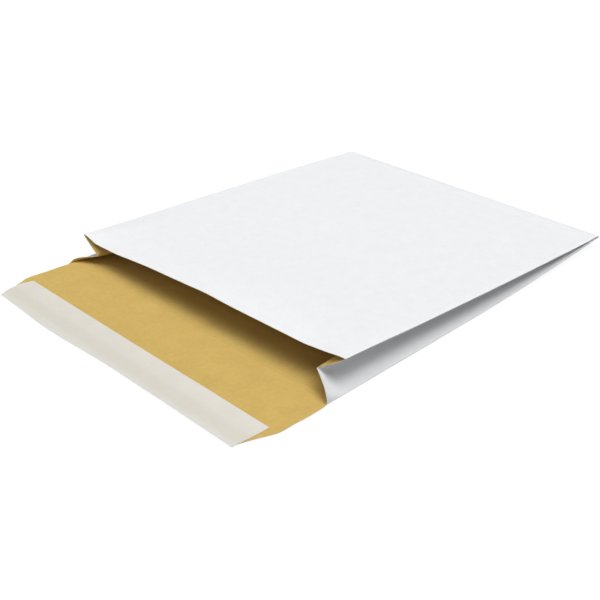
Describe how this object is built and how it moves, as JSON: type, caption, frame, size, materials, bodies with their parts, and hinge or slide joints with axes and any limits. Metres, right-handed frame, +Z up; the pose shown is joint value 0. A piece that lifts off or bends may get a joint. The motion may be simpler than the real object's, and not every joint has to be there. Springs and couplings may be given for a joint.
{
  "type": "gusseted paper mailer",
  "caption": "Paper mailer with folded side gussets, lying with its mouth open and its gummed closing flap laid out, liner still on.",
  "frame": {"origin": "floor under the middle of the whole object", "axes": "+X to the right as seen from the mouth, +Y from the mouth to the closed end, +Z up"},
  "size_m": [0.252, 0.3664, 0.0236],
  "materials": {
    "white_lined_kraft": "matte white outside, buff kraft inside",
    "adhesive": "soft pressure-sensitive glue",
    "liner_paper": "smooth off-white release paper"
  },
  "bodies": {
    "root": {"mailer_body": "white_lined_kraft", "adhesive_strip": "adhesive", "release_liner": "liner_paper"}
  },
  "joints": []
}
